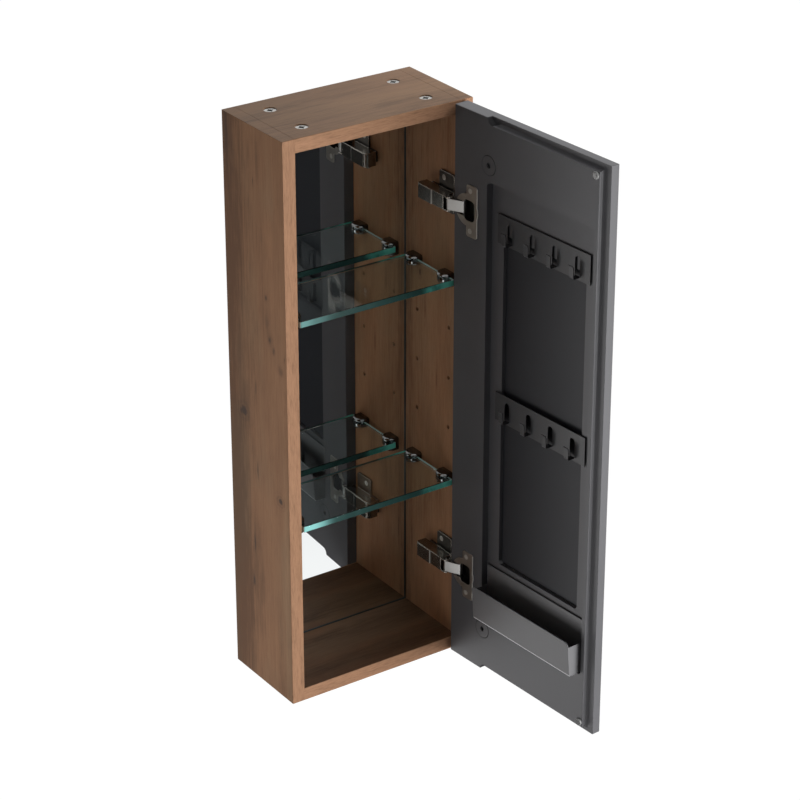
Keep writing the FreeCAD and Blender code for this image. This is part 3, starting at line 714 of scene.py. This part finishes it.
class CabinetDoor(bpy.types.PropertyGroup):
    """Door and what is on it."""
    lacquer: colour_property("Lacquer", "Colour of the door", (0.088, 0.087, 0.093))
    strip: colour_property("Hook strips", "Colour of the hook strips", (0.044, 0.044, 0.047))
    tray: colour_property("Tray", "Colour of the tray", (0.150, 0.149, 0.154))
    board: colour_property("Board", "Colour of the board in the pocket", (0.014, 0.0145, 0.018))
    rubber: colour_property("Pads", "Colour of the pads behind the sheets", (0.02, 0.02, 0.02))
    bumper: colour_property("Bumpers", "Colour of the clear bumpers", (0.36, 0.36, 0.355))
    door_round: length_property("Door rounding", "Rounding of the door's edges", 0.6 * MM)
    sheet_round: length_property("Sheet rounding", "Rounding of the sheets' edges", 0.25 * MM)
    cap_round: length_property("Cap rounding", "Rounding of the caps' rims", 0.9 * MM)
    tray_round: length_property("Tray rounding", "Rounding of the tray's edges", 0.5 * MM)


class CabinetStage(bpy.types.PropertyGroup):
    """Camera and light."""
    lens: FloatProperty(
        name="Lens", description="Focal length on a 36 mm sensor, in millimetres", default=127.42)
    eye: FloatVectorProperty(
        name="Eye", description="Where the camera stands", subtype="TRANSLATION", size=3,
        default=(-1.61733, -2.52364, 1.13034))
    turn: FloatVectorProperty(
        name="Turn", description="How the camera is turned", subtype="EULER", size=3,
        default=(radians(64.03906), radians(0.02294), radians(-34.42741)))
    floor_drop: length_property(
        "Floor drop", "Height of the cabinet's bottom above the floor", 0.9)
    ambient: FloatProperty(name="Ambient", description="Light from all round", default=0.045)
    low: power_property("Low light", "Strength of the low light on the camera's side", 10.0)
    key: power_property("Key light", "Strength of the front light", 49.0)
    fill: power_property("Fill light", "Strength of the left light", 19.0)
    overhead: power_property("Overhead light", "Strength of the top light", 3.0)


class CabinetLooks(bpy.types.PropertyGroup):
    """All settings of the cabinet."""
    wood: PointerProperty(type=CabinetWood)
    glass: PointerProperty(type=CabinetGlass)
    metal: PointerProperty(type=CabinetMetal)
    door: PointerProperty(type=CabinetDoor)
    stage: PointerProperty(type=CabinetStage)


# Operators

class CABINET_OT_boards(bpy.types.Operator):
    """Sides, top and bottom in oak decor"""
    bl_idname = "cabinet.boards"
    bl_label = "Boards"

    def execute(self, context):
        looks = context.scene.cabinet.wood
        # The left panel's lean is partly its decor's tone and partly painted shade towards the wall.
        left = oak("oak_left", looks, along="z", shift=(0.0, 0.0, 0.0), gloss=0.05, lean=0.18,
                   knots=LEFT_KNOTS, marks=LEFT_MARKS)
        # The right panel's depth of 1.22 makes it lighter: painted light.
        right = oak("oak_right", looks, along="z", shift=(0.37, 0.21, 0.4), depth=1.22,
                    knots=RIGHT_KNOTS, marks=RIGHT_MARKS)
        # The top takes a grey hue in place of the warm one: a painted sheen.
        top = oak("oak_top", looks, along="x", shift=(0.12, 0.53, 0.3), gloss=0.32, warm=SHEEN_HUE)
        # The bottom panel's depth of 0.58 makes it darker: painted shade.
        bottom = oak("oak_bottom", looks, along="x", shift=(0.62, 0.17, 0.1), depth=0.58)
        for node, material in (("left_side_panel", left), ("right_side_panel", right)):
            board = softened(node, looks.edge_round, material, top, smooth=False)
            # Level faces of the sides take the top's finish, with its painted grey sheen.
            paint(board, lambda face: abs(face.normal.z) > UPRIGHT)
        for node, material in (("top_panel", top), ("bottom_panel", bottom)):
            softened(node, looks.edge_round, material, smooth=False)
        self.bands(looks)
        return {"FINISHED"}

    def bands(self, looks):
        """Front edge bands: upright ones, the bottom one and the top one."""
        # The top band's depth of 1.04 makes it a trace lighter: painted light.
        bands = softened("front_edge_bands", looks.edge_round,
                         edge_band("band_upright", looks, BAND_UPRIGHT),
                         edge_band("band_bottom", looks, BAND_LEVEL),
                         edge_band("band_top", looks, BAND_LEVEL, depth=1.04), smooth=False)
        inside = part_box("top_panel")[1].x
        top_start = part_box("top_panel")[0].z
        paint(bands, lambda face: (abs(face.center.x) < inside) * (1 + (face.center.z > top_start)))


class CABINET_OT_back_wall(bpy.types.Operator):
    """Mirror, back panel, hanging rail and hangers"""
    bl_idname = "cabinet.back_wall"
    bl_label = "Back wall"

    def execute(self, context):
        looks = context.scene.cabinet
        self.mirror(looks.glass)
        dress("back_panel", raw_board("hardboard", looks.wood.raw))
        dress("hanging_rail", oak("oak_rail", looks.wood, along="x", shift=(0.3, 0.9, 0.7)))
        steel = metal("hanger_steel", looks.metal.steel, roughness=0.28)
        softened("hanger_plates", looks.metal.fitting_round, steel)
        dress("hanger_screws", steel)
        return {"FINISHED"}

    def mirror(self, looks):
        """Mirror whose silver lies behind its glass, inside a ground rim."""
        low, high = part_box("back_mirror")
        mesh = bmesh.new()
        block = Matrix.LocRotScale((low + high) / 2, None, high - low)
        bmesh.ops.create_cube(mesh, size=1.0, matrix=block)
        mesh.faces.ensure_lookup_table()
        front = min(mesh.faces, key=lambda face: face.calc_center_median().y)
        bmesh.ops.inset_region(mesh, faces=[front], thickness=looks.mirror_rim, depth=0.0)
        bmesh.ops.translate(mesh, verts=list(front.verts), vec=(0.0, looks.mirror_depth, 0.0))
        for face in mesh.faces:
            face.material_index = 1
        front.material_index = 0
        show("back_mirror_piece", mesh, "back_mirror", mirror_silver(looks.silver),
             lacquer("mirror_edge", MIRROR_EDGE, roughness=0.3))


class CABINET_OT_fasteners(bpy.types.Operator):
    """Cams, cam bolts and dowels"""
    bl_idname = "cabinet.fasteners"
    bl_label = "Fasteners"

    def execute(self, context):
        looks = context.scene.cabinet
        # Near-black zinc on the faces inside each cam's cross: painted shade.
        recess = metal("cam_recess_shade", shade(looks.metal.zinc, factor=0.04), roughness=0.6)
        cams = softened("cam_housings", looks.metal.cam_round, cam_zinc(looks.metal.zinc), recess)
        low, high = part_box("cam_housings")
        paint(cams, lambda face: low.z + CAM_LIP < face.center.z < high.z - CAM_LIP)
        dress("cam_bolts", metal("bolt_steel", looks.metal.steel, roughness=0.3))
        dress("wood_dowels", raw_board("dowel_beech", looks.wood.beech))
        return {"FINISHED"}


class CABINET_OT_shelves(bpy.types.Operator):
    """Glass shelves and their clamps"""
    bl_idname = "cabinet.shelves"
    bl_label = "Shelves"

    def execute(self, context):
        looks = context.scene.cabinet
        glass = clear_glass(looks.glass)
        chrome = metal("clamp_chrome", looks.metal.chrome, roughness=0.05, scratch=0.04)
        # The lower shelf's left end, 2.2 times lighter still: painted light.
        bright_end = shade(looks.glass.edge_end_light, factor=2.2)
        levels = (("upper", looks.glass.edge_end_light, UPPER_END_REACH),
                  ("lower", bright_end, LOWER_END_REACH))
        for level, end, reach in levels:
            edge = glass_edge(level + "_glass_edge", looks.glass, end, reach)
            shelf = softened(level + "_glass_shelf", SHELF_ROUND, glass, edge)
            paint(shelf, lambda face: abs(face.normal.z) < UPRIGHT)
            domed_clamps(level + "_shelf_clamps", looks.metal.dome, chrome)
        dress("clamp_screws", chrome)
        return {"FINISHED"}


class CABINET_OT_hinges(bpy.types.Operator):
    """Concealed hinges"""
    bl_idname = "cabinet.hinges"
    bl_label = "Hinges"

    def execute(self, context):
        looks = context.scene.cabinet.metal
        width = looks.fitting_round
        nickel = self.plated("hinge_nickel", looks.nickel, roughness=0.16)
        steel = self.plated("link_steel", looks.steel, roughness=0.24)
        bright = self.plated("bright_steel", looks.bright, roughness=0.3, plating=0.5)
        # The plates take a darker copy of the nickel: painted shade.
        plate = self.plated("plate_shade_nickel", looks.nickel, factor=0.4, roughness=0.3)
        # The rounded edges take a lighter copy of the nickel: painted highlight.
        arris = self.plated("arris_highlight_nickel", looks.nickel, factor=2.4, roughness=0.2)
        # The flanges take a lighter, partly matt copy of the nickel: painted light.
        flange = self.plated("flange_lit_nickel", looks.nickel, factor=1.5, roughness=0.26, plating=0.85)
        # The bowls take a near-black copy of the nickel: painted shade.
        bowl = self.plated("bowl_shade_nickel", looks.nickel, factor=0.14, roughness=0.4)
        # The flanges' outer rims take a lighter, mostly matt bright steel: painted highlight.
        rim = self.plated("rim_highlight_nickel", looks.bright, factor=1.5, roughness=0.25, plating=0.2)
        for level in ("upper", "lower"):
            softened(level + "_hinge_arm", width, nickel, arris)
            softened(level + "_mounting_plate", width, plate, arris)
            softened(level + "_hinge_link", width, steel)
            self.cup(level + "_hinge_cup", width, flange, bowl, rim)
        # The covers' bright steel lip is a painted highlight.
        lipped_covers("hinge_covers", width, looks.cover_lip, nickel, bright, arris)
        for node in ("plate_screws", "flange_screws"):
            dress(node, bright)
        for node in ("adjusting_screws", "arm_pins", "cup_pins"):
            dress(node, steel)
        return {"FINISHED"}

    def plated(self, name, colour, roughness, factor=1.0, plating=1.0):
        """Metal of the hinges, in a shade of a colour."""
        return metal(name, shade(colour, factor), roughness, scratch=HINGE_SCRATCH, plating=plating)

    def cup(self, node, width, *materials):
        """Hinge cup: its flange, its bowl and the rim on the flange's outer side.
        The flange's lighter nickel is painted light, the bowl's dark nickel painted shade and the rim
        a painted highlight.
        """
        piece = softened(node, width, *materials)
        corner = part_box(node)[0]
        paint(piece, lambda face: 2 if face.center.y < corner.y + FLANGE_SIDE
              else face.center.x > corner.x + BOWL_START)


class CABINET_OT_door(bpy.types.Operator):
    """Door panel, board in its pocket, caps and bumpers"""
    bl_idname = "cabinet.door"
    bl_label = "Door"

    def execute(self, context):
        looks = context.scene.cabinet.door
        door = softened("door_panel", looks.door_round,
                        lacquer("door_lacquer", looks.lacquer, roughness=0.40),
                        lacquer("door_edge", looks.lacquer, roughness=0.40, gloss=0.6),
                        shortest=LONG_EDGE)
        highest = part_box("door_panel")[1].z
        paint(door, lambda face: face.center.z > highest - looks.door_round)
        softened("magnet_board", looks.sheet_round,
                 lacquer("board_coat", looks.board, roughness=0.42, gloss=0.22))
        # The caps' rounded rims take a darker copy of the lacquer: painted shade round each cap.
        softened("door_caps", looks.cap_round,
                 lacquer("cap_plastic", looks.lacquer, roughness=0.36),
                 lacquer("cap_seam_shade", shade(looks.lacquer, factor=0.15), roughness=0.5))
        # The bumpers' rounded rims take the full bumper colour as a painted highlight; their flat
        # faces take a darker copy.
        bumpers = softened("door_bumpers", looks.sheet_round,
                           soft_clear("bumper_clear", shade(looks.bumper, factor=0.28)),
                           soft_clear("bumper_rim_highlight", looks.bumper))
        paint(bumpers, lambda face: abs(face.normal.x) < BUMPER_FLAT)
        return {"FINISHED"}


class CABINET_OT_door_fittings(bpy.types.Operator):
    """Hook strips, tray and the pads behind them"""
    bl_idname = "cabinet.door_fittings"
    bl_label = "Hook strips and tray"

    def execute(self, context):
        looks = context.scene.cabinet.door
        coat = lacquer("strip_coat", looks.strip, roughness=0.34)
        for node in ("upper_hook_strip", "lower_hook_strip"):
            softened(node, looks.sheet_round, coat)
        # The tray's downward-facing bend takes a lighter metal copy of the tray colour: a painted
        # highlight.
        tray = softened("door_tray", looks.tray_round,
                        lacquer("tray_coat", looks.tray, roughness=0.34),
                        metal("tray_arris_highlight", shade(looks.tray, factor=4.5), roughness=0.3))
        paint(tray, lambda face: LOW_FLAT < face.normal.z < LOW_EDGE)
        dress("fixing_pads", raw_board("pad_rubber", looks.rubber))
        return {"FINISHED"}


# Stage: the floor's grey, its glow and how much of what is seen is glow, and the dark card
FLOOR_GREY = (0.8, 0.8, 0.8, 1.0)
FLOOR_GLOW = 1.07
GLOW_SHARE = 0.94
FLAG_PLACE = Vector((-0.7, -1.38, -0.88))
FLAG_DARK = (0.02, 0.02, 0.02, 1.0)
FLAG_LIGHT = (0.035, 0.035, 0.035, 1.0)


class CABINET_OT_stage(bpy.types.Operator):
    """Floor, light and camera"""
    bl_idname = "cabinet.stage"
    bl_label = "Stage"

    def execute(self, context):
        scene = context.scene
        looks = scene.cabinet.stage
        scene.view_settings.view_transform = "Standard"
        self.camera(scene, looks)
        self.world(scene, looks)
        self.floor(scene, looks)
        self.flag(scene)
        self.lamp(scene, "key_light", looks.key, size=1.2, position=(0.8, -1.9, -0.5))
        self.lamp(scene, "low_light", looks.low, size=1.0, position=(-1.55, -0.9, -1.42))
        self.lamp(scene, "fill_light", looks.fill, size=1.2, position=(-1.5, 0.7, -1.2))
        self.lamp(scene, "overhead_light", looks.overhead, size=0.36, position=(0.42, -0.28, 0.45),
                  mirrored=False)
        return {"FINISHED"}

    def camera(self, scene, looks):
        """Camera that sees the cabinet as the photo does."""
        camera = bpy.data.cameras.new("photo_camera")
        camera.sensor_width = 36.0
        camera.lens = looks.lens
        camera.clip_start = 0.05
        camera.clip_end = 50.0
        eye = bpy.data.objects.new("photo_camera", camera)
        eye.location = looks.eye
        eye.rotation_euler = looks.turn
        scene.collection.objects.link(eye)
        scene.camera = eye

    def seen(self, wire):
        """1 for rays that show the background: straight, mirrored or through glass."""
        path = wire.tree.nodes.new("ShaderNodeLightPath")
        camera, glossy, through = (
            Wire(wire.tree, path.outputs[name])
            for name in ("Is Camera Ray", "Is Glossy Ray", "Is Transmission Ray"))
        return (camera + glossy + through).math("MINIMUM", 1.0)

    def world(self, scene, looks):
        """White background that gives only a little light."""
        world = bpy.data.worlds.new("studio")
        world.use_nodes = True
        world.node_tree.nodes.clear()
        start = Wire(world.node_tree, None)
        strength = self.seen(start).between(low=0.0, high=1.0, start=looks.ambient)
        shader = start.node("Background", None, {"Color": WHITE, "Strength": strength})
        start.node("OutputWorld", None, {"Surface": shader})
        scene.world = world

    def floor(self, scene, looks):
        """Pale floor that looks nearly white and keeps a trace of shadow."""
        material, place = new_material("pale_floor")
        matt = place.node("BsdfDiffuse", None, {"Color": FLOOR_GREY})
        glow = place.node("Emission", None, {"Color": WHITE, "Strength": FLOOR_GLOW})
        pale = place.node("MixShader", None, {0: self.seen(place) * GLOW_SHARE, 1: matt, 2: glow})
        place.node("OutputMaterial", None, {"Surface": pale})
        mesh = bmesh.new()
        level = Matrix.Translation((0.0, 0.0, cad_low.z - looks.floor_drop))
        bmesh.ops.create_grid(mesh, x_segments=1, y_segments=1, size=6.0, matrix=level)
        self.keep(scene, "floor", mesh, material)

    def flag(self, scene):
        """A dark card on the camera's side of the studio, which the mirror and the metal reflect."""
        material, place = new_material("flag_cloth")
        weave = place.noise(scale=200.0, detail=2.0)
        surface(place, Base_Color=weave.blend(FLAG_DARK, FLAG_LIGHT), Roughness=0.9)
        mesh = bmesh.new()
        facing = Matrix.LocRotScale(FLAG_PLACE, (-FLAG_PLACE).to_track_quat("Z", "Y"), None)
        bmesh.ops.create_grid(mesh, x_segments=1, y_segments=1, size=0.8, matrix=facing)
        card = self.keep(scene, "flag", mesh, material)
        card.visible_camera = False
        card.visible_diffuse = False

    def keep(self, scene, name, mesh, material):
        """Turn a bmesh into a piece of the stage."""
        data = bpy.data.meshes.new(name)
        mesh.to_mesh(data)
        mesh.free()
        data.materials.append(material)
        piece = bpy.data.objects.new(name, data)
        scene.collection.objects.link(piece)
        return piece

    def lamp(self, scene, name, power, size, position, mirrored=True):
        """Square lamp turned to the cabinet's middle; where not mirrored, reflections leave it out."""
        light = bpy.data.lights.new(name, "AREA")
        light.energy = power
        light.size = size
        lamp = bpy.data.objects.new(name, light)
        lamp.location = position
        lamp.visible_glossy = mirrored
        lamp.rotation_mode = "QUATERNION"
        middle = (cad_low + cad_high) / 2
        lamp.rotation_quaternion = (middle - Vector(position)).to_track_quat("-Z", "Y")
        scene.collection.objects.link(lamp)


STEPS = (
    CABINET_OT_stage, CABINET_OT_boards, CABINET_OT_back_wall, CABINET_OT_fasteners,
    CABINET_OT_shelves, CABINET_OT_hinges, CABINET_OT_door, CABINET_OT_door_fittings,
)


class CABINET_PT_looks(bpy.types.Panel):
    """Lists the cabinet's steps"""
    bl_idname = "CABINET_PT_looks"
    bl_label = "Mirror cabinet"
    bl_space_type = "VIEW_3D"
    bl_region_type = "UI"
    bl_category = "Cabinet"

    def draw(self, context):
        for step in STEPS:
            self.layout.operator(step.bl_idname)


CLASSES = (
    CabinetWood, CabinetGlass, CabinetMetal, CabinetDoor, CabinetStage, CabinetLooks,
    *STEPS, CABINET_PT_looks,
)


def register():
    """Make the settings, the steps and the panel known to Blender."""
    for item in CLASSES:
        bpy.utils.register_class(item)
    bpy.types.Scene.cabinet = PointerProperty(type=CabinetLooks)


def unregister():
    """Take them out again."""
    del bpy.types.Scene.cabinet
    for item in reversed(CLASSES):
        bpy.utils.unregister_class(item)


def main():
    """Build the stage and dress all pieces."""
    register()
    bpy.ops.cabinet.stage()
    bpy.ops.cabinet.boards()
    bpy.ops.cabinet.back_wall()
    bpy.ops.cabinet.fasteners()
    bpy.ops.cabinet.shelves()
    bpy.ops.cabinet.hinges()
    bpy.ops.cabinet.door()
    bpy.ops.cabinet.door_fittings()


if __name__ == "__main__":
    main()
